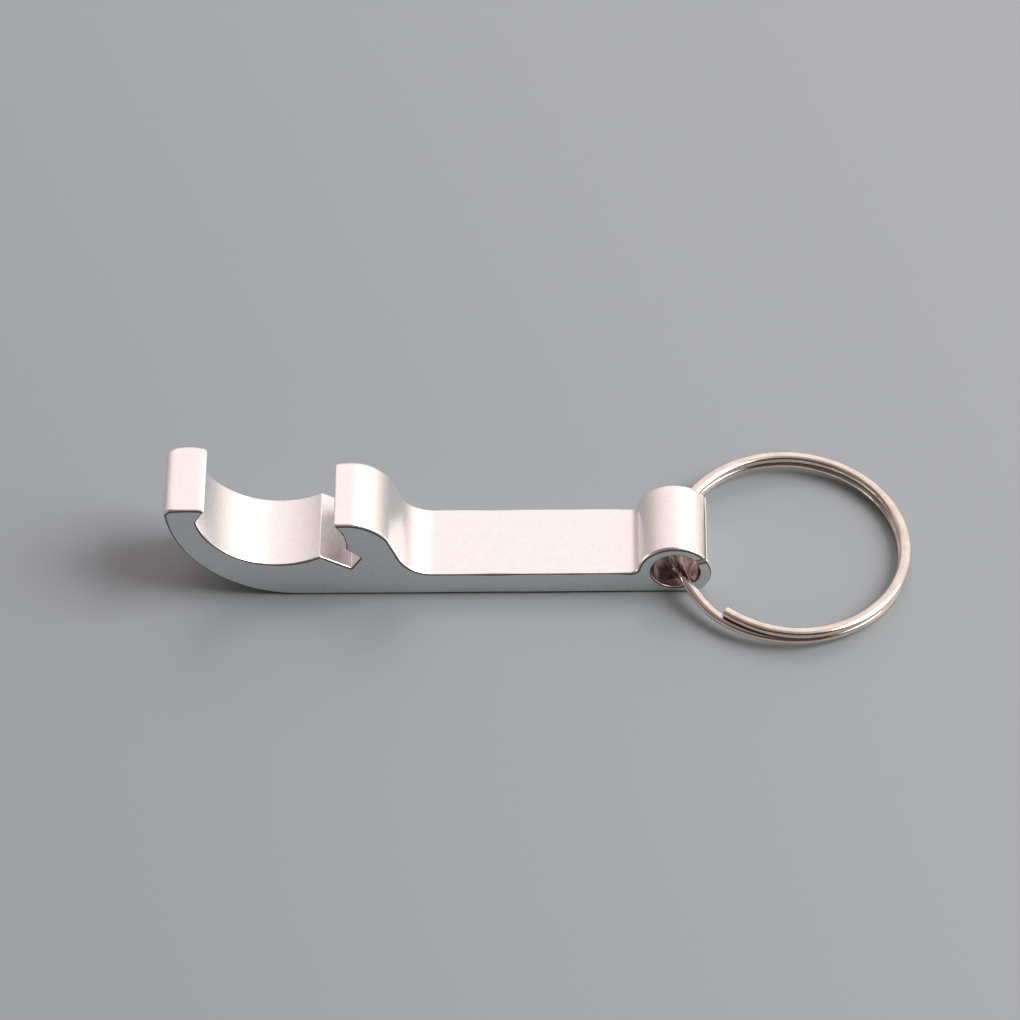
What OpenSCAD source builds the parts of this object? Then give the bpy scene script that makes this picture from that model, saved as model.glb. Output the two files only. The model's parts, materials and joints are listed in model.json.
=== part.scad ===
// Keychain bottle opener: one aluminium extrusion cut to width, and the split ring that hangs in its eyelet.
// Millimetres. X runs from the hook to the eyelet, Y across the extrusion, Z up.
// The origin is on the flat underside, midway along the body.

/* [Body] */
// Length of the body, from the back of the hook to the end of the eyelet
body_len = 63; // [61:0.5:70]
// Width of the body, which is the length the extrusion is cut to
body_w = 10; // [8:0.5:14]
// Thickness of the flat handle
handle_t = 3.4; // [2.8:0.1:4]

/* [Hook] */
// Height of the hook's tip above the underside
hook_h = 15.1; // [14.6:0.1:15.4]
// Width of the hook's tip, from its back to the point of the barb
hook_tip_w = 5; // [4.6:0.1:5.4]
// Radius of the rounded back that joins the hook to the underside
back_r = 15.5; // [15.4:0.1:16.2]
// Radius of the mouth that goes over the edge of a crown cap
mouth_r = 9.25; // [8.9:0.05:9.6]
// Lowest point of the mouth above the underside
mouth_floor = 5.4; // [5:0.1:5.8]

/* [Beak] */
// Height of the beak above the underside
beak_h = 12.25; // [11.75:0.25:12.75]
// Radius of the beak's rounded top
beak_r = 5.05; // [4.85:0.05:5.25]
// Width of the notch under the beak that lifts a can's tab
tab_slot_w = 2.1; // [1.8:0.1:2.4]

/* [Eyelet] */
// Outer diameter of the eyelet
eyelet_d = 8.6; // [8.2:0.1:9]
// Diameter of the eyelet's bore
bore_d = 5.5; // [5.3:0.1:5.7]
// Width of the slit that leaves the extrusion's eyelet open
slit_w = 0.35; // [0.2:0.05:0.5]
// Direction of the slit above horizontal, in degrees
slit_angle = 22; // [15:1:30]

/* [Split ring] */
// Outer diameter of the split ring
ring_d = 28.3; // [26.3:0.5:30.3]
// Width of the flattened wire, measured along the ring's radius
wire_w = 1.4; // [1.2:0.05:1.5]
// Thickness of the flattened wire
wire_t = 1; // [0.8:0.05:1.1]

/* [Hidden] */
$fn = 96;
// Overlap of shapes that are joined, and how far a cut runs past a face
join = 0.01;
past = 1;
// A fillet is cut this much deeper, so that it crosses the surfaces it runs into and doesn't just graze them
blend = 0.0005;

// Centres of the round stretches of the outline, from the back of the hook and the underside
mouth_x = 12.85;
mouth_z = mouth_floor + mouth_r;
beak_x = 21.15;
beak_z = beak_h - beak_r;
under_r = 5.75;
under_x = 15;
under_z = 8.4;
eyelet_r = eyelet_d / 2;
eyelet_x = body_len - eyelet_r;
eyelet_z = 3.4;
bore_x = eyelet_x + 0.15;
bore_z = 3.6;

// Distance from the bore's axis to the middle of the slit, square to the slit
slit_offset = 0.6;

// Direction of the barb's straight inner face, which leans back from the point down to the mouth
barb_angle = 59.2;

// Tab notch: its floor slopes down from the cusp at the end of the mouth to the end wall
cusp_x = 17.7;
cusp = [cusp_x, mouth_z - sqrt(pow(mouth_r, 2) - pow(cusp_x - mouth_x, 2))];
notch_floor_len = 4.15;
notch_floor_angle = -30.5;
lip_angle = -4;

// Fillets that run the beak and the eyelet into the flat of the handle
beak_fillet_r = 4.2;
eyelet_fillet_r = 0.8;

// Where the straight flank of the beak touches the beak's round and its fillet
fillet_x = 30.9;
fillet_z = handle_t + beak_fillet_r;
flank_gap = norm([fillet_x - beak_x, fillet_z - beak_z]);
flank_turn = atan2(fillet_z - beak_z, fillet_x - beak_x) + acos((beak_r + beak_fillet_r) / flank_gap);

// Split ring: two turns of one wire, which steps down from the upper turn to the lower one.
// The upper turn springs in a little towards its cut end.
turn_gap = 0.03;
turn_pitch = wire_t + turn_gap;
turn_shift = 0.15;
end_pull = 0.4;
pull_span = 45;
wire_r = ring_d / 2 - wire_w / 2;
upper_end = 233;
lower_end = 195;
wire_start = upper_end;
step_start = lower_end + 360;
step_end = upper_end + 360;
wire_end = lower_end + 720;
ring_segments = 136;
corner_r = 0.4;
corner_points = 3;
ring_y = 0.3;
ring_play = 0.05;
ring_x = bore_x + wire_r - ring_play;
ring_tilt = 3;

function polar(r, a) = [r * cos(a), r * sin(a)];
function ease(t) = t <= 0 ? 0 : t >= 1 ? 1 : t * t * (3 - 2 * t);

// Share of the step that the wire has gone down at the angle a along it
function stepped(a) = ease((a - step_start) / (step_end - step_start));

// How far the wire lies inside its circle at the angle a along it
function pulled_in(a) = end_pull * ease(1 - (a - wire_start) / pull_span);

// One corner of the wire's section, from its angle on the section's outline
function corner(k) = let(
    side = floor(k / corner_points),
    a = side * 90 + (k % corner_points) * 90 / (corner_points - 1),
    sx = side == 0 || side == 3 ? 1 : -1,
    sz = side < 2 ? 1 : -1
) [sx * (wire_w / 2 - corner_r), sz * (wire_t / 2 - corner_r)] + polar(corner_r, a);

// A point k of the section at the angle a along the wire
function wire_point(a, k) = let(
    c = corner(k),
    r = wire_r + c[0] - pulled_in(a),
    down = stepped(a)
) [r * cos(a) - turn_shift * down, r * sin(a), wire_t / 2 + turn_pitch * (1 - down) + c[1]];

module outline_hook() {
    intersection() {
        translate([back_r, back_r]) circle(r = back_r);
        square([back_r + join, hook_h]);
    }
    translate([back_r, 0]) square([beak_x + past - back_r, cusp[1]]);
}

module outline_beak() {
    touch = polar(beak_r, flank_turn);
    fillet_touch = polar(-beak_fillet_r, flank_turn);
    translate([beak_x, beak_z]) circle(r = beak_r);
    translate([under_x, beak_z]) square([beak_x - under_x, beak_r]);
    difference() {
        polygon([
            [beak_x - past, 0], [fillet_x, 0], [fillet_x, handle_t],
            [fillet_x + fillet_touch[0], fillet_z + fillet_touch[1]],
            [beak_x + touch[0], beak_z + touch[1]], [beak_x - past, beak_z]
        ]);
        translate([fillet_x, fillet_z]) circle(r = beak_fillet_r + blend);
    }
}

module outline_handle() {
    translate([back_r, 0]) square([eyelet_x - back_r, handle_t]);
}

module outline_eyelet() {
    corner_z = handle_t + eyelet_fillet_r;
    reach = eyelet_r + eyelet_fillet_r;
    corner_x = eyelet_x - sqrt(pow(reach, 2) - pow(corner_z - eyelet_z, 2));
    touch_z = eyelet_z + eyelet_r * (corner_z - eyelet_z) / reach;
    intersection() {
        translate([eyelet_x, eyelet_z]) circle(r = eyelet_r);
        translate([eyelet_x - eyelet_r, 0]) square([2 * eyelet_r, 2 * eyelet_d]);
    }
    difference() {
        translate([corner_x, 0]) square([eyelet_x - corner_x, touch_z]);
        translate([corner_x, corner_z]) circle(r = eyelet_fillet_r + blend);
    }
}

// The mouth, the tab notch, the hollow under the beak and the lean of the barb
module mouth_cut() {
    notch_start = cusp + polar(-past, notch_floor_angle);
    floor_end = cusp + polar(notch_floor_len, notch_floor_angle);
    wall_top = floor_end + polar(tab_slot_w, notch_floor_angle + 90);
    lip = [under_x, under_z] + polar(under_r, lip_angle);
    past_lip = lip + past * (lip - wall_top) / norm(lip - wall_top);
    tip = [hook_tip_w, hook_h];
    foot = tip - polar(hook_tip_w, barb_angle);
    difference() {
        intersection() {
            translate([mouth_x, mouth_z]) circle(r = mouth_r);
            square([cusp_x + join, hook_h + past]);
        }
        polygon([tip + polar(past, barb_angle), [0, hook_h + past], [0, foot[1]], foot]);
    }
    polygon([notch_start, floor_end, wall_top, past_lip, [notch_start[0], past_lip[1]]]);
    intersection() {
        translate([under_x, under_z]) circle(r = under_r);
        translate([under_x - under_r, lip[1] - join]) square(2 * under_r);
    }
}

module outline() {
    difference() {
        union() {
            outline_hook();
            outline_beak();
            outline_handle();
            outline_eyelet();
        }
        mouth_cut();
        translate([bore_x, bore_z]) rotate(slit_angle)
        translate([0, slit_offset - slit_w / 2]) square([eyelet_d, slit_w]);
    }
}

module opener_body() {
    color("gainsboro")
    translate([-body_len / 2, body_w / 2, 0])
    rotate([90, 0, 0])
    difference() {
        linear_extrude(height = body_w) outline();
        translate([bore_x, bore_z, -past]) cylinder(d = bore_d, h = body_w + 2 * past);
    }
}

module split_ring() {
    sides = 4 * corner_points;
    step = (wire_end - wire_start) / ring_segments;
    points = [for (i = [0 : ring_segments]) for (k = [0 : sides - 1]) wire_point(wire_start + i * step, k)];
    walls = [
        for (i = [0 : ring_segments - 1]) for (k = [0 : sides - 1])
        let(a = i * sides + k, b = i * sides + (k + 1) % sides)
        each [[a, b, a + sides], [b, b + sides, a + sides]]
    ];
    first_end = [for (k = [sides - 1 : -1 : 0]) k];
    last_end = [for (k = [0 : sides - 1]) ring_segments * sides + k];
    color("silver")
    translate([ring_x - body_len / 2, ring_y, ring_d / 2 * sin(ring_tilt)])
    rotate([0, ring_tilt, 0])
    polyhedron(points = points, faces = concat(walls, [first_end, last_end]));
}

opener_body();
split_ring();
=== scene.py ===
import json
import math

import bpy
import numpy as np
from mathutils import Matrix, Vector, noise


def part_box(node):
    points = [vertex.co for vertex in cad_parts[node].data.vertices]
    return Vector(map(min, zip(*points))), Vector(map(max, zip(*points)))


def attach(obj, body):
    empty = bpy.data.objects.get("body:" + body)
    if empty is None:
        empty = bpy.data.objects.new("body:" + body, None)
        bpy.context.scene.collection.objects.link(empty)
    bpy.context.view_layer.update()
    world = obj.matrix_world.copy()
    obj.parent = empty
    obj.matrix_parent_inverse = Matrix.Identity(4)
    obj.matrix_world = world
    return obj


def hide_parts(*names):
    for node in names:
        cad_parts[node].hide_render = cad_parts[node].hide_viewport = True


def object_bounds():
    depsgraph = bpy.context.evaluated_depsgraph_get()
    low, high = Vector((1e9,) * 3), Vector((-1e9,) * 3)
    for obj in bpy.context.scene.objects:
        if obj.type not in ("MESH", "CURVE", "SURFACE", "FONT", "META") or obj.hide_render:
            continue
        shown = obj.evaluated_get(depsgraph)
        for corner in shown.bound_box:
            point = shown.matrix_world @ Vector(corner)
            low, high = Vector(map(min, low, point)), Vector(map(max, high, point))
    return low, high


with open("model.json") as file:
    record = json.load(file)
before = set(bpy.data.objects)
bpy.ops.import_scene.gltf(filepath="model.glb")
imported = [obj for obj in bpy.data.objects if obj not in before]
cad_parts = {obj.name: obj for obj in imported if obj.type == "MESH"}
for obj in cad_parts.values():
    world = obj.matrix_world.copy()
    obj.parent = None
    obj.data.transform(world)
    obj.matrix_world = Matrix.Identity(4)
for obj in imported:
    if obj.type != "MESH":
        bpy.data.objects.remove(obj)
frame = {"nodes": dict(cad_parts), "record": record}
cad_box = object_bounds()

# Lengths are in metres, and most are written in millimetres. Points closer than SAME are one point, and
# points of a mesh are matched at these decimals of a metre.
MM = 0.001
SAME = 1e-6
CAD_DECIMALS = 7
SHELL_DECIMALS = 8

# The view: a camera on a long lens, aimed at a point on the floor beside the handle. Angles are in
# degrees, and the lens and its sensor in millimetres.
CAMERA_AZIMUTH = 1.34
CAMERA_ELEVATION = 49.38
CAMERA_ROLL = -1.44
CAMERA_DISTANCE = 650 * MM
CAMERA_AIM = Vector((8.03, 7.77, 0)) * MM
CAMERA_LENS = 194.54
CAMERA_SENSOR = 36
CAMERA_NEAREST = 10 * MM
CAMERA_FURTHEST = 20000 * MM

# The body's outline is the front face of the CAD node. These are the corners met along it, from the
# back of the hook down and round. Tumbling has rounded each: these are the lengths in millimetres that
# it takes off the sides before and after the corner, and how fully the curve fills the corner, where
# 0.55 is a round arc.
CORNERS = {
    "hook_back": (1.1, 1.1, 0.55),
    "eyelet_foot": (0.2, 0.2, 0.6),
    "slit_outer_low": (0.08, 0.08, 0.55),
    "slit_inner_low": (0.08, 0.08, 0.55),
    "slit_inner_high": (0.08, 0.08, 0.55),
    "slit_outer_high": (0.12, 0.12, 0.55),
    "nose": (0.45, 0.45, 0.42),
    "lip": (0.1, 0.1, 0.55),
    "notch_top": (0.1, 0.1, 0.55),
    "notch_bottom": (0.1, 0.1, 0.55),
    "cusp": (0.1, 0.1, 0.6),
    "barb_foot": (0.25, 0.25, 0.6),
    "barb_point": (0.45, 1.8, 0.75),
}
# A turn of more than CORNER_TURN is a corner, and its curve is cut into steps of CORNER_STEP. The loop
# that it may leave in the inner edge of a rim lies within CORNER_SPAN of it.
CORNER_TURN = math.radians(28)
CORNER_STEP = math.radians(10)
CORNER_SPAN = 3 * MM
# Between corners, a chord that is longer than LINE_LENGTH or stands alone is a straight side, which is
# cut into steps of LINE_STEP. The others belong to curves, which are cut finer, into steps of ARC_STEP.
LINE_LENGTH = 1.45 * MM
LINE_STEP = 0.8 * MM
ARC_STEP = math.radians(2)

# Rounding of the rims of the front and back faces: places on the outline, as millimetres from the
# back of the hook and above the underside, each with the radius that tumbling has given it there.
FRONT_RIMS = {
    # The tip of the hook
    (0, 15.1): 0.45,
    (2.5, 15.1): 0.34,
    (5, 15.1): 0.45,
    (0.3, 12.8): 0.45,
    (3.9, 13.2): 0.35,
    # The mouth and the tab notch
    (7, 7.6): 0.25,
    (12.9, 5.4): 0.25,
    (17.7, 6.8): 0.3,
    (21.5, 5.2): 0.35,
    (20.7, 8): 0.35,
    # The beak
    (19.3, 12.3): 0.4,
    (21, 12.3): 0.45,
    (23.6, 11.6): 0.55,
    (26.5, 7.5): 0.4,
    # The handle
    (33, 3.4): 0.18,
    (42.5, 3.4): 0.16,
    (50.5, 3.4): 0.16,
    # The eyelet and its bore
    (54.5, 5.2): 0.42,
    (58.7, 7.7): 0.48,
    (62, 6.2): 0.42,
    (63, 3.4): 0.25,
    (58.9, 3.6): 0.2,
    # The round back of the hook and the underside
    (4.5, 4.5): 0.35,
    (15.5, 0): 0.4,
    (38, 0): 0.42,
    (55, 0): 0.4,
}
# The rims of the back face are rounder at the tip of the hook and at the beak
BACK_RIMS = {**FRONT_RIMS, (0, 15.1): 1.1, (5, 15.1): 1.05, (19.3, 12.3): 0.9, (21, 12.3): 0.7}
RIM_STEPS = 7
# How far a rim's radius strays, as a share of it, and how often, in swings to the metre
RIM_UNEVEN = 0.12
UNEVEN_SCALE = 350

# The split ring's wire, and its two turns, of which the lower lies a little nearer the hook
WIRE_W = 1.4 * MM
WIRE_T = 1.0 * MM
TURN_PITCH = 1.03 * MM
TURN_SHIFT = 0.15 * MM
RING_TILT = math.radians(3)
# Angles of its ends, in degrees. The wire starts at the upper end, steps down where the two ends lie,
# and stops at the lower end.
UPPER_END = 233
LOWER_END = 195
WIRE_START = UPPER_END
STEP_START = LOWER_END + 360
STEP_END = UPPER_END + 360
WIRE_END = LOWER_END + 720
# The upper turn springs in by this much at its end, and over this many degrees
END_PULL = 0.4 * MM
PULL_SPAN = 45
END_ROUNDING = 0.15 * MM
END_STEPS = 4
SECTION_POINTS = 36
WIRE_SEGMENTS = 455

# How far the marks on the body reach, among them the painted shade along the edge of the cut and at the
# foot: the distance up to which each is whole, and the distance at which it ends. They are measured from the
# front and back faces, up from the underside, and from the bore.
CUT_DEPTH = (0.005 * MM, 0.03 * MM)
EDGE_DEPTH = (0.08 * MM, 0.15 * MM)
FOOT_DEPTH = (0.4 * MM, 0.5 * MM)
FOOT_HEIGHT = (0.24 * MM, 0.36 * MM)
BORE_R = 2.75 * MM
BORE_DEPTH = (0.03 * MM, 0.15 * MM)

# Colours of the materials, as linear red, green, blue and alpha
SKIN = ((0.905, 0.88, 0.875, 1), (0.88, 0.855, 0.847, 1))
SKIN_PITS = (0.74, 0.7, 0.68, 1)
SAWN_FACE = ((0.76, 0.79, 0.785, 1), (0.65, 0.685, 0.68, 1))
BORE_WALL = ((0.97, 0.92, 0.92, 1), (0.5, 0.42, 0.4, 1))
# Painted shade: a dark line on the rims beside the cut faces, standing in for the shaded floor they reflect
CUT_EDGE_PAINTED_SHADE = (0.12, 0.09, 0.085, 1)
# Painted shade: near black at the foot, standing in for the contact shadow where the body meets the floor
FOOT_PAINTED_SHADE = (0.02, 0.018, 0.018, 1)
PLATING = ((0.8, 0.73, 0.67, 1), (0.7, 0.62, 0.56, 1))
PLATING_SPECKS = (0.5, 0.43, 0.38, 1)
# Painted shade in the seam between the wire's turns
SEAM_PAINTED_SHADE = (0.12, 0.09, 0.08, 1)
# Floor tones, lighter to the right and behind: painted light
FLOOR_NEAR = ((0.208, 0.229, 0.245, 1), (0.27, 0.292, 0.306, 1))
FLOOR_FAR = ((0.235, 0.258, 0.283, 1), (0.291, 0.313, 0.338, 1))
FLOOR_AWAY = (0.46, 0.475, 0.49, 1)

# Sizes of their textures, in bumps to the metre, and the heights of the bumps. The lines run along Y.
PEBBLES, PEBBLE_HEIGHT = 5000, 0.014 * MM
PITS, PIT_HEIGHT = 7500, 0.006 * MM
LINES, LINE_HEIGHT = (2600, 60, 2600), 0.006 * MM
CLOUDS = 900
GRAIN, GRAIN_HEIGHT = 2600, 0.007 * MM
SPECKS = 5000
WIRE_CLOUDS = 400
# The seam between the turns is where more wire lies within this distance of the surface, and there shade is
# painted into the wire's colour
SEAM_DEPTH = 0.7 * MM

# The values, from 0 to 1, of the textures and of the seam's openness between which one colour turns into
# the next
CLOUDED = (0.35, 0.65)
PITTED = (0.56, 0.74)
SAWN = (0.35, 0.7)
REAMED = (0.42, 0.56)
SPECKLED = (0.62, 0.75)
OPEN_AIR = (0.3, 0.85)

# Roughness of the surfaces, from the least to the most, and the values of the texture that go with these
SATIN_ROUGHNESS = (0.27, 0.36)
SAWN_ROUGHNESS = (0.34, 0.44)
BORE_ROUGHNESS = 0.22
PLATING_ROUGHNESS = (0.03, 0.1)
PIT_SPREAD = (0.3, 0.7)
SPECK_SPREAD = (0.3, 0.75)
FLOOR_ROUGHNESS = 0.3
FLOOR_GLOSS = 0.65

# The floor: half its side, the gap under the part, and where its tones begin and end, to the right of
# the part's origin, behind it and away from it. The tones to the right and behind are painted light.
FLOOR_REACH = 3000 * MM
FLOOR_GAP = 0.01 * MM
FLOOR_RIGHT = (-60 * MM, 75 * MM)
FLOOR_BACK = (-80 * MM, 90 * MM)
FLOOR_AROUND = (150 * MM, 450 * MM)

# The studio's light, as radiance
SOFTBOX = 11.5
SOFTBOX_WHITE = (SOFTBOX, 0.98 * SOFTBOX, 0.96 * SOFTBOX)
BACKDROP = (1.16, 1.13, 1.11)
WALL = (1.1, 0.985, 0.985)
ROOM = (0.12, 0.075, 0.06)
FRONT_WALL = (0.45, 0.4, 0.39)

# The studio in zones from the front to the back. In each, the light blends between these radiances by
# the angle about the Y axis, in degrees from straight up, with the left below zero and the right above
# it. The softbox is up on the right, beside the part.
AHEAD = {
    -100: (0.5, 0.46, 0.45),
    -68: (0.46, 0.42, 0.41),
    -42: ROOM,
    42: ROOM,
    68: (0.46, 0.42, 0.41),
    100: (0.5, 0.46, 0.45),
}
BESIDE = {
    -100: (0.5, 0.44, 0.42),
    -84: (0.5, 0.44, 0.42),
    -70: (0.2, 0.15, 0.13),
    -35: (0.28, 0.23, 0.21),
    0: (0.45, 0.39, 0.37),
    14: (0.65, 0.57, 0.54),
    24: (1.2, 1.1, 1.0),
    30: SOFTBOX_WHITE,
    58: SOFTBOX_WHITE,
    66: (1.2, 1.1, 1.0),
    90: (0.6, 0.5, 0.45),
    105: (0.3, 0.22, 0.18),
}
ABOVE = {
    -80: (0.5, 0.44, 0.42),
    -45: (0.6, 0.5, 0.46),
    -15: WALL,
    5: WALL,
    9: BACKDROP,
    60: BACKDROP,
    75: (1.1, 0.98, 0.9),
    95: (0.6, 0.5, 0.45),
}
BEHIND = {
    -95: (0.5, 0.44, 0.42),
    -75: (0.65, 0.56, 0.53),
    -54: (0.95, 0.86, 0.84),
    -25: WALL,
    2: WALL,
    9: BACKDROP,
    60: BACKDROP,
    76: (1.0, 0.86, 0.76),
    95: (0.95, 0.84, 0.78),
}
# Each zone takes over from the one in front of it, or from the front wall, between these depths, which
# run from -1 straight in front of the part to 1 straight behind it
ZONES = (
    (-0.9, -0.82, AHEAD),
    (-0.36, -0.2, BESIDE),
    (0.2, 0.32, ABOVE),
    (0.5, 0.62, BEHIND),
)


def turn_between(a, b):
    """The angle from direction a to direction b, between -180 and 180 degrees."""
    return (b - a + math.pi) % (2 * math.pi) - math.pi


def along(angle):
    """Unit vectors at these angles in the plane of the outline."""
    return np.stack([np.cos(angle), np.sin(angle)], -1)


def inward(angle):
    """Unit vectors square to these directions, on the side of the solid."""
    return along(angle + math.pi / 2)


def cad_outline(node):
    """The edge of a node's front face as (x, z) points, from the back of the hook down and round, with
    the solid on the left."""
    mesh = frame["nodes"][node].data
    places = np.array([v.co for v in mesh.vertices])
    front = places[:, 1].min() + SAME
    sides = set()
    for polygon in mesh.polygons:
        corners = places[list(polygon.vertices)]
        if corners[:, 1].max() < front:
            keys = [tuple(p) for p in np.round(corners[:, [0, 2]], CAD_DECIMALS)]
            sides.update(zip(keys, keys[1:] + keys[:1]))
    ahead = {a: b for a, b in sides if (b, a) not in sides}
    loop = [max(ahead, key=lambda p: p[1] - p[0])]
    while ahead[loop[-1]] != loop[0]:
        loop.append(ahead[loop[-1]])
    return np.array(loop)


def hermite(start, start_angle, end, end_angle, parts):
    """A round curve between two points, as points and directions, without its first point."""
    turn = turn_between(start_angle, end_angle)
    pull = np.linalg.norm(end - start) / math.cos(turn / 4) ** 2
    t = np.linspace(0, 1, parts + 1)[1:, None]
    a, b = along(start_angle) * pull, along(end_angle) * pull
    points = (
        (2 * t**3 - 3 * t**2 + 1) * start
        + (t**3 - 2 * t**2 + t) * a
        + (3 * t**2 - 2 * t**3) * end
        + (t**3 - t**2) * b
    )
    return points, start_angle + turn * t[:, 0]


def smooth_stretch(points):
    """A stretch of outline between two corners, with its round parts cut finer, as points and directions."""
    chords = np.diff(points, axis=0)
    lengths = np.linalg.norm(chords, axis=1)
    angles = np.unwrap(np.arctan2(chords[:, 1], chords[:, 0]))
    straight = (lengths > LINE_LENGTH) | (len(chords) == 1)
    inner = []
    for i in range(len(chords) - 1):
        share = lengths[i] / (lengths[i] + lengths[i + 1])
        if straight[i]:
            share = 0
        elif straight[i + 1]:
            share = 1
        inner.append(angles[i] + share * (angles[i + 1] - angles[i]))
    first = angles[0] if straight[0] else 2 * angles[0] - inner[0]
    last = angles[-1] if straight[-1] else 2 * angles[-1] - inner[-1]
    tangents = np.array([first, *inner, last])
    fine_points, fine_angles = [points[:1]], [tangents[:1]]
    for i in range(len(chords)):
        if straight[i]:
            parts = math.ceil(lengths[i] / LINE_STEP)
        else:
            parts = math.ceil(abs(tangents[i + 1] - tangents[i]) / ARC_STEP + SAME)
        curve, directions = hermite(points[i], tangents[i], points[i + 1], tangents[i + 1], parts)
        fine_points.append(curve)
        fine_angles.append(directions)
    return np.concatenate(fine_points), np.concatenate(fine_angles)


def trimmed(points, angles, at_start, at_end):
    """A stretch shortened by these lengths at its two ends."""
    run = np.concatenate([[0], np.cumsum(np.linalg.norm(np.diff(points, axis=0), axis=1))])
    low, high = at_start, run[-1] - at_end
    kept = (run > low + SAME) & (run < high - SAME)
    where = np.concatenate([[low], run[kept], [high]])
    x, z = (np.interp(where, run, points[:, k]) for k in (0, 1))
    return np.stack([x, z], 1), np.interp(where, run, angles)


def corner_curve(start, start_angle, end, end_angle, reach, parts):
    """The rounding of a corner, as points and directions with both ends."""
    t = np.linspace(0, 1, parts + 1)[:, None]
    a = start + along(start_angle) * reach[0]
    b = end - along(end_angle) * reach[1]
    points = (1 - t) ** 3 * start + 3 * t * (1 - t) ** 2 * a + 3 * t**2 * (1 - t) * b + t**3 * end
    ways = (1 - t) ** 2 * (a - start) + 2 * t * (1 - t) * (b - a) + t**2 * (end - b)
    angles = start_angle + turn_between(start_angle, np.arctan2(ways[:, 1], ways[:, 0]))
    return points, angles


def rim_radii(points, named):
    """How far a rim is rounded at points of the outline, from the radii at its named places."""
    origin = np.array([cad_box[0].x, 0])
    places = np.array(list(named)) * MM + origin
    gaps = np.linalg.norm(points[:, None] - places, axis=2)
    weights = 1 / (gaps**3 + MM**3)
    radii = weights @ np.array(list(named.values())) / weights.sum(1) * MM
    uneven = [noise.noise(Vector((x, 0, z)) * UNEVEN_SCALE) for x, z in points]
    return radii * (1 + RIM_UNEVEN * np.array(uneven))


def crossing(a, b, c, d):
    """Where the line from a to b crosses the line from c to d, or None."""
    way = np.stack([b - a, c - d], 1)
    if abs(np.linalg.det(way)) < SAME**2:
        return None
    s, t = np.linalg.solve(way, c - a)
    if not (0 <= s <= 1 and 0 <= t <= 1):
        return None
    return a + s * (b - a)


def close_loop(face, points, middle):
    """Draw together the small loop that the inner edge of a rim makes round a sharp corner."""
    count = len(points)
    span = 1
    while np.linalg.norm(points[middle - span] - points[middle]) < CORNER_SPAN and span < count // 4:
        span += 1
    near = [(middle + k) % count for k in range(-span, span + 1)]
    for a in range(span):
        for b in range(2 * span - 1, max(span - 1, a + 1), -1):
            meet = crossing(face[near[a]], face[near[a + 1]], face[near[b]], face[near[b + 1]])
            if meet is not None:
                face[near[a + 1 : b + 1]] = meet
                return


def sharp_corners(loop):
    """The corners of the outline: the number of each one's point, and the outline's turn there."""
    chords = np.roll(loop, -1, axis=0) - loop
    headings = np.arctan2(chords[:, 1], chords[:, 0])
    turns = turn_between(np.roll(headings, 1), headings)
    found = [i for i in range(len(loop)) if abs(turns[i]) > CORNER_TURN]
    if len(found) != len(CORNERS) or found[0] != 0:
        raise RuntimeError(f"the outline has {len(found)} corners, and {len(CORNERS)} are named")
    return found, turns[found]


def outline_stretches(loop, found):
    """The smooth stretches from each corner to the next, cut short to leave room for the rounding."""
    closed = np.concatenate([loop, loop[:1]])
    cuts = list(CORNERS.values())
    stretches = []
    for k, (first, last) in enumerate(zip(found, found[1:] + [len(loop)])):
        stretch = smooth_stretch(closed[first : last + 1])
        stretches.append(trimmed(*stretch, cuts[k][1] * MM, cuts[(k + 1) % len(cuts)][0] * MM))
    return stretches


def rounded_outline(node):
    """The outline with its corners rounded: its points, its directions there, and the number of the
    point in the middle of each corner."""
    loop = cad_outline(node)
    found, turns = sharp_corners(loop)
    stretches = outline_stretches(loop, found)
    points, angles, middles = [], [], []
    for k, (before, after, fullness) in enumerate(CORNERS.values()):
        (start, start_angles), (end, end_angles) = stretches[k - 1], stretches[k]
        reach = (before * fullness * MM, after * fullness * MM)
        parts = 2 * math.ceil(abs(turns[k]) / CORNER_STEP / 2)
        curve, curve_angles = corner_curve(start[-1], start_angles[-1], end[0], end_angles[0], reach, parts)
        middles.append(sum(len(p) for p in points) + parts // 2 - 1)
        points += [curve[1:-1], end]
        angles += [curve_angles[1:-1], end_angles]
    return np.concatenate(points), np.concatenate(angles), middles


def body_rows(node):
    """The body's surface as rows of points round it, from the edge of its front face to that of its
    back face. The rows of each rim are steps of a quarter circle."""
    points, angles, corner_middles = rounded_outline(node)
    low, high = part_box(node)
    middle, half = (low.y + high.y) / 2, (high.y - low.y) / 2
    quarter = np.linspace(math.pi / 2, 0, RIM_STEPS + 1)
    rows = []
    for side, thetas, named in ((-1, quarter, FRONT_RIMS), (1, quarter[::-1], BACK_RIMS)):
        radii = rim_radii(points, named)
        face = points + inward(angles) * radii[:, None]
        for corner_middle in corner_middles:
            close_loop(face, points, corner_middle)
        for theta in thetas:
            flat = points + (face - points) * (1 - math.cos(theta))
            y = middle + side * (half - radii * (1 - math.sin(theta)))
            rows.append(np.stack([flat[:, 0], y, flat[:, 1]], 1))
    return rows


def grid_faces(rows, count):
    """The faces between neighbouring rows, each of this many points in a closed loop."""
    faces = []
    for row in range(0, (rows - 1) * count, count):
        for i in range(count):
            j = (i + 1) % count
            faces.append([row + j, row + i, row + count + i, row + count + j])
    return faces


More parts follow.
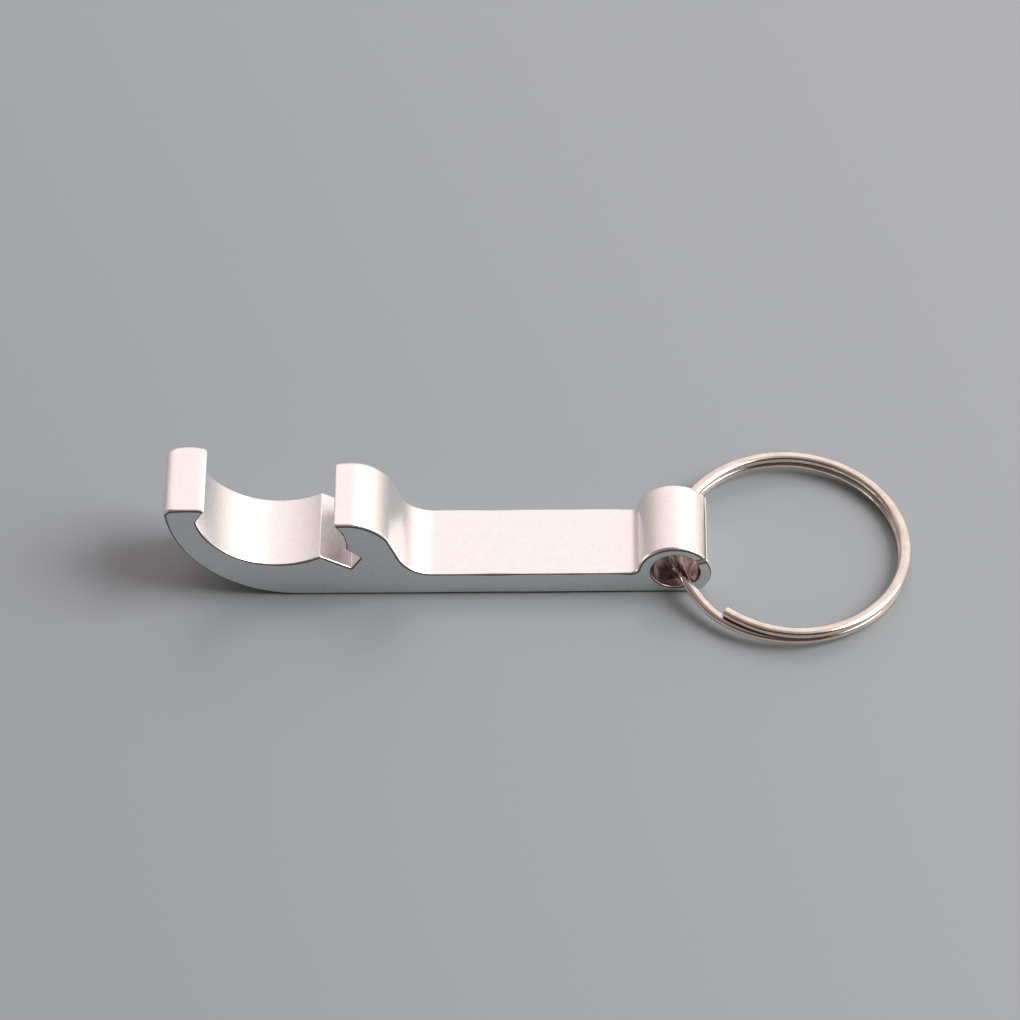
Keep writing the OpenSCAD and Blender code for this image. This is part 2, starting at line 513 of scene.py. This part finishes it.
def body_mesh(node):
    """The body: its rows of points joined by faces, with points that fall together made one, and closed
    by its flat front and back."""
    rows = body_rows(node)
    count = len(rows[0])
    grid = np.concatenate(rows)
    keys, owner = np.unique(np.round(grid, SHELL_DECIMALS), axis=0, return_inverse=True)
    owner = owner.reshape(-1)
    verts = np.zeros((len(keys), 3))
    verts[owner] = grid
    polygons = []
    for corners in grid_faces(len(rows), count):
        ids = list(dict.fromkeys(int(owner[v]) for v in corners))
        if len(ids) > 2:
            polygons.append(ids)
    front = list(dict.fromkeys(int(v) for v in owner[:count]))
    back = list(dict.fromkeys(int(v) for v in owner[-count:]))[::-1]
    polygons += [front, back]
    normals = vertex_normals(verts, polygons)
    normals[front] = (0, -1, 0)
    normals[back] = (0, 1, 0)
    return verts, polygons, normals


def vertex_normals(verts, polygons):
    """Smooth normals that lean to the larger faces, so that flats look flat where a rounding begins."""
    normals = np.zeros_like(verts)
    for ids in polygons:
        places = verts[ids]
        normals[ids] += np.cross(places, np.roll(places, -1, axis=0)).sum(0)
    return normals / np.linalg.norm(normals, axis=1)[:, None]


def make_piece(name, verts, polygons, normals):
    """A smooth mesh object with these normals."""
    mesh = bpy.data.meshes.new(name)
    mesh.from_pydata(verts.tolist(), [], polygons)
    mesh.validate()
    mesh.update()
    mesh.polygons.foreach_set("use_smooth", [True] * len(mesh.polygons))
    mesh.normals_split_custom_set_from_vertices(normals.tolist())
    piece = bpy.data.objects.new(name, mesh)
    bpy.context.scene.collection.objects.link(piece)
    return piece


def wire_section():
    """The flattened wire's section, an oval: points across and up."""
    turn = np.linspace(0, 2 * math.pi, SECTION_POINTS, endpoint=False)
    return np.stack([WIRE_W / 2 * np.cos(turn), WIRE_T / 2 * np.sin(turn)], 1)


def ease(t):
    """A smooth step from 0 to 1."""
    t = min(1, max(0, t))
    return t * t * (3 - 2 * t)


def wire_rows(radius):
    """Each section's place along the wire in degrees, and its inset where the wire's ends are rounded."""
    rows = [(degree, 0) for degree in np.linspace(WIRE_START, WIRE_END, WIRE_SEGMENTS + 1)[1:-1]]
    for step in range(END_STEPS + 1):
        angle = step / END_STEPS * math.pi / 2
        back = math.degrees(END_ROUNDING * (1 - math.sin(angle)) / radius)
        inset = END_ROUNDING * (1 - math.cos(angle))
        rows.append((WIRE_START + back, inset))
        rows.append((WIRE_END - back, inset))
    return sorted(rows)


def wire_point(degree, radius, x, z):
    """Where a point of the section lies at an angle along the wire, while the ring is flat."""
    down = ease((degree - STEP_START) / (STEP_END - STEP_START))
    pull = END_PULL * ease(1 - (degree - WIRE_START) / PULL_SPAN)
    angle = math.radians(degree)
    reach = radius + x - pull
    return Vector((
        reach * math.cos(angle) - TURN_SHIFT * down,
        reach * math.sin(angle),
        WIRE_T / 2 + TURN_PITCH * (1 - down) + z,
    ))


def ring_mesh(node):
    """The split ring: the wire's section swept through two turns, and tilted so that its far side is
    down on the floor and its upper turn reaches the end of the node's box."""
    low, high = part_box(node)
    outer = (high.y - low.y) / 2
    radius = outer - WIRE_W / 2
    centre = Vector((
        high.x - outer * math.cos(RING_TILT) - (WIRE_T / 2 + TURN_PITCH) * math.sin(RING_TILT),
        (high.y + low.y) / 2,
        outer * math.sin(RING_TILT),
    ))
    tilt = Matrix.Rotation(RING_TILT, 3, "Y")
    section = wire_section()
    rows = wire_rows(radius)
    verts = []
    for degree, inset in rows:
        for x, z in section * (1 - inset / (WIRE_T / 2)):
            verts.append(tilt @ wire_point(degree, radius, x, z) + centre)
    verts = np.array(verts)
    count = len(section)
    polygons = [list(range(count)), [len(verts) - 1 - i for i in range(count)]]
    polygons += grid_faces(len(rows), count)
    return verts, polygons, vertex_normals(verts, polygons)


def new_material(name):
    """A node material: the material, its tree and its Principled shader."""
    material = bpy.data.materials.new(name)
    material.use_nodes = True
    tree = material.node_tree
    return material, tree, tree.nodes["Principled BSDF"]


def feed(tree, socket, value):
    """Link another socket to an input, or set the input to a plain value."""
    if isinstance(value, bpy.types.NodeSocket):
        tree.links.new(value, socket)
    else:
        socket.default_value = value


def add_node(tree, kind, **values):
    """A node with these properties and inputs, where a name's underscores stand for spaces."""
    node = tree.nodes.new(kind)
    for key, value in values.items():
        if hasattr(node, key):
            setattr(node, key, value)
        else:
            feed(tree, node.inputs[key.replace("_", " ")], value)
    return node


def operate(tree, kind, operation, *values):
    """A Math or Vector Math node that does this to these numbers, vectors or sockets."""
    node = add_node(tree, kind, operation=operation)
    for socket, value in zip(node.inputs, values):
        feed(tree, socket, value)
    return node


def maths(tree, operation, *values):
    """The number that comes of an operation on numbers."""
    return operate(tree, "ShaderNodeMath", operation, *values).outputs["Value"]


def vector_maths(tree, operation, *values):
    """The vector that comes of an operation on vectors."""
    return operate(tree, "ShaderNodeVectorMath", operation, *values).outputs["Vector"]


def length_of(tree, vector):
    """The length of a vector."""
    return operate(tree, "ShaderNodeVectorMath", "LENGTH", vector).outputs["Value"]


def blend(tree, factor, a, b):
    """A mix of a and b, which are numbers, colours or sockets, by a factor from 0 to 1."""
    colour = any(isinstance(v, tuple) or getattr(v, "type", "") == "RGBA" for v in (a, b))
    node = add_node(tree, "ShaderNodeMix", data_type="RGBA" if colour else "FLOAT")
    # The Mix node has inputs and outputs of every type, of which these are the chosen type's
    first, result = (6, 2) if colour else (2, 0)
    feed(tree, node.inputs[0], factor)
    feed(tree, node.inputs[first], a)
    feed(tree, node.inputs[first + 1], b)
    return node.outputs[result]


def map_range(tree, value, low, high, to_low=0.0, to_high=1.0):
    """A value taken from one range to another, and held at its ends."""
    ranges = {"From_Min": low, "From_Max": high, "To_Min": to_low, "To_Max": to_high}
    return add_node(tree, "ShaderNodeMapRange", Value=value, **ranges).outputs[0]


def within(tree, distance, whole, end):
    """A mask that is whole up to one distance and ends at another."""
    return map_range(tree, distance, whole, end, 1.0, 0.0)


def noise_at(tree, place, scale, detail=2.0):
    """Noise with this many bumps to the metre, or this many along each axis."""
    if isinstance(scale, tuple):
        place = add_node(tree, "ShaderNodeMapping", Vector=place, Scale=scale).outputs[0]
        scale = 1
    return add_node(tree, "ShaderNodeTexNoise", Vector=place, Scale=scale, Detail=detail).outputs[0]


def bumps(tree, *layers):
    """One normal from layers of (texture, height)."""
    normal = None
    for texture, height in layers:
        node = add_node(tree, "ShaderNodeBump", Height=texture, Strength=1.0, Distance=height)
        if normal:
            tree.links.new(normal, node.inputs["Normal"])
        normal = node.outputs[0]
    return normal


def body_masks(tree, place, node):
    """Masks of the cut front and back faces, of the rim as far as the painted shade along the edge of the
    cut goes, of the bore's wall, and of the foot of the body, next to what it stands on, where shade is
    painted."""
    low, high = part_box(node)
    half = (high.y - low.y) / 2
    split = add_node(tree, "ShaderNodeSeparateXYZ", Vector=place)
    side = maths(tree, "ABSOLUTE", split.outputs["Y"])

    def from_face(whole, end):
        """A mask that is whole up to one distance from the front or back face and ends at another."""
        return map_range(tree, side, half - end, half - whole)

    bore_axis = frame["record"]["behaviour"]["joints"][0]["pos_m"]
    from_axis = vector_maths(tree, "SUBTRACT", place, bore_axis)
    radius = length_of(tree, vector_maths(tree, "MULTIPLY", from_axis, (1, 0, 1)))
    bore = within(tree, radius, BORE_R + BORE_DEPTH[0], BORE_R + BORE_DEPTH[1])
    low_down = within(tree, split.outputs["Z"], *FOOT_HEIGHT)
    # The foot mask places painted shade low on the rims, next to the floor
    foot = maths(tree, "MULTIPLY", low_down, from_face(*FOOT_DEPTH))
    return from_face(*CUT_DEPTH), from_face(*EDGE_DEPTH), bore, foot


def aluminium():
    """Satin aluminium: a pebbled skin with faint lines along the extrusion and small pits, duller faces
    where it is cut, a mottled bore, and painted shade along the edge of the cut, for the shaded floor that
    the rims reflect, and at the foot, for the contact shadow under the body."""
    material, tree, shader = new_material("body_aluminium")
    place = add_node(tree, "ShaderNodeTexCoord").outputs["Object"]
    cut, edge, bore, foot = body_masks(tree, place, "opener_body")
    pebbles = noise_at(tree, place, PEBBLES, detail=1.5)
    pits = noise_at(tree, place, PITS)
    lines = noise_at(tree, place, LINES)
    clouds = noise_at(tree, place, CLOUDS, detail=3.0)
    skin = blend(tree, map_range(tree, clouds, *CLOUDED), *SKIN)
    skin = blend(tree, map_range(tree, pits, *PITTED), skin, SKIN_PITS)
    sawn = blend(tree, map_range(tree, pits, *SAWN), *SAWN_FACE)
    reamed = blend(tree, map_range(tree, clouds, *REAMED), *BORE_WALL)
    # Painted shade: a dark line on the rims next to the cut faces, for the shaded floor they reflect
    walls = blend(tree, edge, blend(tree, bore, skin, reamed), CUT_EDGE_PAINTED_SHADE)
    # Painted shade: near black at the foot, for the contact shadow under the body
    colour = blend(tree, foot, blend(tree, cut, walls, sawn), FOOT_PAINTED_SHADE)
    satin = map_range(tree, pits, *PIT_SPREAD, *SATIN_ROUGHNESS)
    dull = map_range(tree, pits, *PIT_SPREAD, *SAWN_ROUGHNESS)
    rough = blend(tree, cut, blend(tree, bore, satin, BORE_ROUGHNESS), dull)
    normal = bumps(tree, (lines, LINE_HEIGHT), (pebbles, PEBBLE_HEIGHT), (pits, PIT_HEIGHT))
    shader.inputs["Metallic"].default_value = 1
    tree.links.new(colour, shader.inputs["Base Color"])
    tree.links.new(rough, shader.inputs["Roughness"])
    tree.links.new(normal, shader.inputs["Normal"])
    return material


def nickel():
    """Bright nickel plating on drawn wire: a fine grain, cloudy patches, a few dull specks, and painted
    shade in the seam between the turns, where ambient occlusion darkens the colour."""
    material, tree, shader = new_material("ring_nickel")
    place = add_node(tree, "ShaderNodeTexCoord").outputs["Object"]
    grain = noise_at(tree, place, GRAIN)
    specks = noise_at(tree, place, SPECKS)
    clouds = noise_at(tree, place, WIRE_CLOUDS)
    plating = blend(tree, map_range(tree, clouds, *CLOUDED), *PLATING)
    plating = blend(tree, map_range(tree, specks, *SPECKLED), plating, PLATING_SPECKS)
    # Painted shade: the colour darkens where ambient occlusion finds the seam between the turns
    seam = add_node(tree, "ShaderNodeAmbientOcclusion", only_local=True, samples=8, Distance=SEAM_DEPTH)
    open_air = map_range(tree, seam.outputs["AO"], *OPEN_AIR)
    rough = map_range(tree, specks, *SPECK_SPREAD, *PLATING_ROUGHNESS)
    shader.inputs["Metallic"].default_value = 1
    tree.links.new(blend(tree, open_air, SEAM_PAINTED_SHADE, plating), shader.inputs["Base Color"])
    tree.links.new(rough, shader.inputs["Roughness"])
    tree.links.new(bumps(tree, (grain, GRAIN_HEIGHT)), shader.inputs["Normal"])
    return material


def paper():
    """The plain floor, with painted light: a little lighter to the right and to the back, and paler all
    round the part.
    """
    material, tree, shader = new_material("floor_paper")
    place = add_node(tree, "ShaderNodeTexCoord").outputs["Object"]
    split = add_node(tree, "ShaderNodeSeparateXYZ", Vector=place)
    right = map_range(tree, split.outputs["X"], *FLOOR_RIGHT)
    back = map_range(tree, split.outputs["Y"], *FLOOR_BACK)
    away = map_range(tree, length_of(tree, place), *FLOOR_AROUND)
    # Painted light: the tone grows lighter to the right and to the back, where the light falls stronger
    tone = blend(tree, back, blend(tree, right, *FLOOR_NEAR), blend(tree, right, *FLOOR_FAR))
    tree.links.new(blend(tree, away, tone, FLOOR_AWAY), shader.inputs["Base Color"])
    shader.inputs["Roughness"].default_value = FLOOR_ROUGHNESS
    shader.inputs["Specular IOR Level"].default_value = FLOOR_GLOSS
    return material


def add_camera():
    """The camera, from its azimuth, elevation and roll about the point it is aimed at."""
    azimuth, elevation = math.radians(CAMERA_AZIMUTH), math.radians(CAMERA_ELEVATION)
    back = Vector((
        math.sin(azimuth) * math.cos(elevation),
        -math.cos(azimuth) * math.cos(elevation),
        math.sin(elevation),
    ))
    right = (-back).cross(Vector((0, 0, 1))).normalized()
    up = right.cross(-back)
    roll = math.radians(CAMERA_ROLL)
    right, up = right * math.cos(roll) + up * math.sin(roll), up * math.cos(roll) - right * math.sin(roll)
    data = bpy.data.cameras.new("camera")
    data.lens = CAMERA_LENS
    data.sensor_width = CAMERA_SENSOR
    data.clip_start = CAMERA_NEAREST
    data.clip_end = CAMERA_FURTHEST
    camera = bpy.data.objects.new("camera", data)
    turn = Matrix((right, up, back)).transposed().to_4x4()
    camera.matrix_world = Matrix.Translation(CAMERA_AIM + back * CAMERA_DISTANCE) @ turn
    bpy.context.scene.collection.objects.link(camera)
    bpy.context.scene.camera = camera


def glow(radiance):
    """A radiance as a colour for the world, whose strength is SOFTBOX."""
    return (*(part / SOFTBOX for part in radiance), 1)


def ramp(tree, share, stops):
    """The light of a zone at a share of the full turn, which has straight up in its middle."""
    node = add_node(tree, "ShaderNodeValToRGB", Fac=share)
    elements = node.color_ramp.elements
    while len(elements) < len(stops):
        elements.new(0.5)
    for element, (degrees, radiance) in zip(elements, sorted(stops.items())):
        element.position = 0.5 + degrees / 360
        element.color = glow(radiance)
    return node.outputs[0]


def studio():
    """Soft studio light as the world: the front wall, and the zones behind it one by one."""
    world = bpy.data.worlds.new("studio")
    world.use_nodes = True
    bpy.context.scene.world = world
    tree = world.node_tree
    background = tree.nodes["Background"]
    background.inputs["Strength"].default_value = SOFTBOX
    way = add_node(tree, "ShaderNodeTexCoord").outputs["Generated"]
    split = add_node(tree, "ShaderNodeSeparateXYZ", Vector=way)
    angle = maths(tree, "ARCTAN2", split.outputs["X"], split.outputs["Z"])
    share = map_range(tree, angle, -math.pi, math.pi)
    light = glow(FRONT_WALL)
    for nearest, furthest, zone in ZONES:
        depth = map_range(tree, split.outputs["Y"], nearest, furthest)
        light = blend(tree, depth, light, ramp(tree, share, zone))
    tree.links.new(light, background.inputs["Color"])


def add_floor():
    """A plain floor under the part."""
    low = cad_box[0].z - FLOOR_GAP
    signs = ((-1, -1), (1, -1), (1, 1), (-1, 1))
    mesh = bpy.data.meshes.new("floor")
    mesh.from_pydata([(x * FLOOR_REACH, y * FLOOR_REACH, low) for x, y in signs], [], [(0, 1, 2, 3)])
    floor = bpy.data.objects.new("floor", mesh)
    bpy.context.scene.collection.objects.link(floor)
    mesh.materials.append(paper())


body = make_piece("opener_body_shell", *body_mesh("opener_body"))
body.data.materials.append(aluminium())
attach(body, "opener")
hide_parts("opener_body")

ring = make_piece("split_ring_wire", *ring_mesh("split_ring"))
ring.data.materials.append(nickel())
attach(ring, "ring")
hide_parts("split_ring")

add_floor()
add_camera()
studio()
bpy.context.scene.view_settings.view_transform = "Standard"
